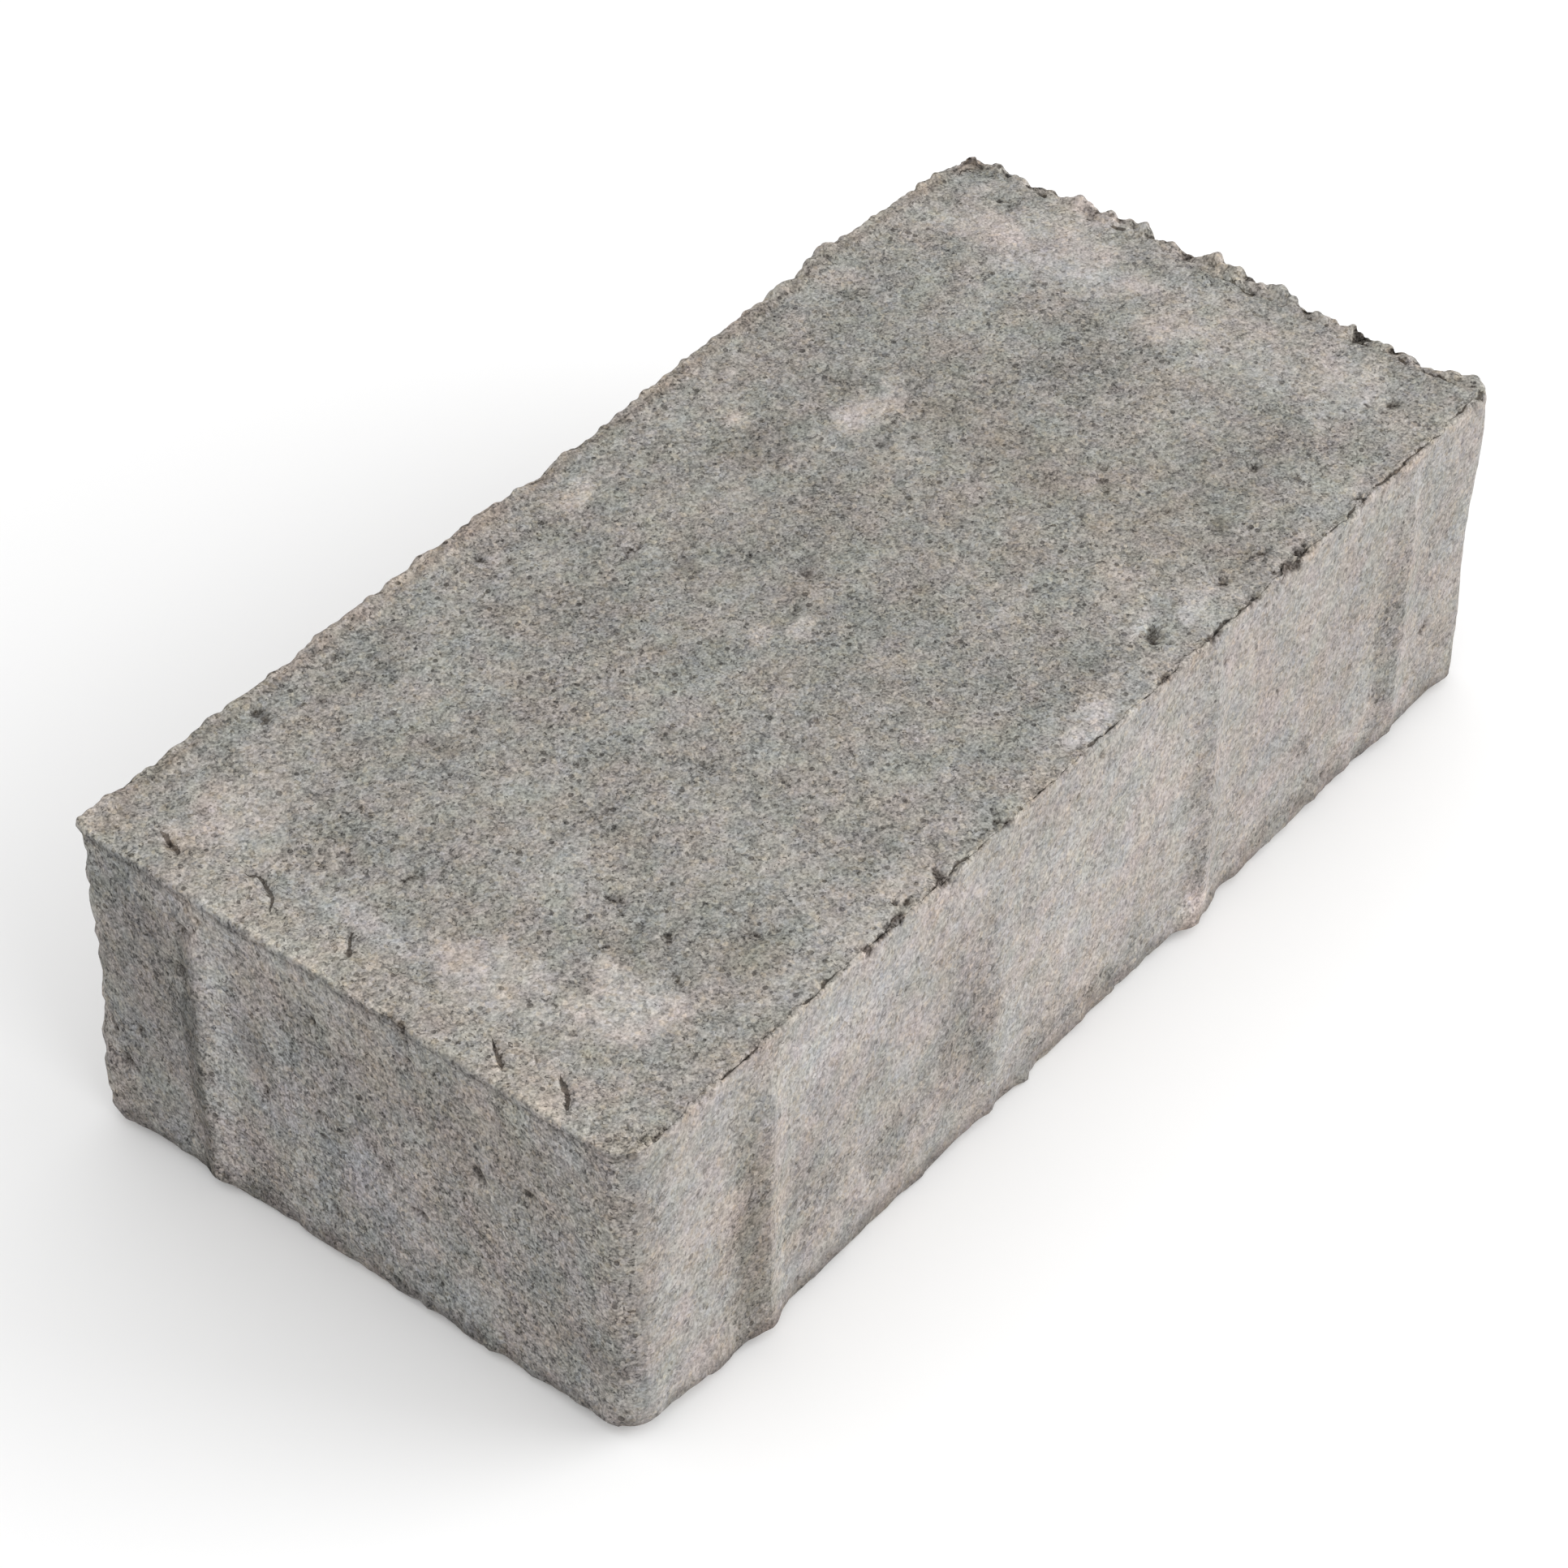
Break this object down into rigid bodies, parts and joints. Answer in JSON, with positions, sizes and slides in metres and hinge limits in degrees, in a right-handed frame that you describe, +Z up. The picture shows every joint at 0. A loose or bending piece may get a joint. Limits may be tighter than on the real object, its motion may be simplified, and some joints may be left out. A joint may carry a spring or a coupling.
{
  "type": "concrete paving stone",
  "caption": "Rectangular pressed concrete paving stone with upright spacer ribs on its walls and a raw lip round its upper face, for laying paths and yards.",
  "frame": {"origin": "centre of the flat underside", "axes": "+X along the length, +Y across the width, +Z up through the pressed face"},
  "size_m": [0.21, 0.105, 0.06],
  "materials": {
    "concrete": "rough, porous, matt"
  },
  "bodies": {
    "root": {"paving_stone": "concrete"}
  },
  "joints": []
}
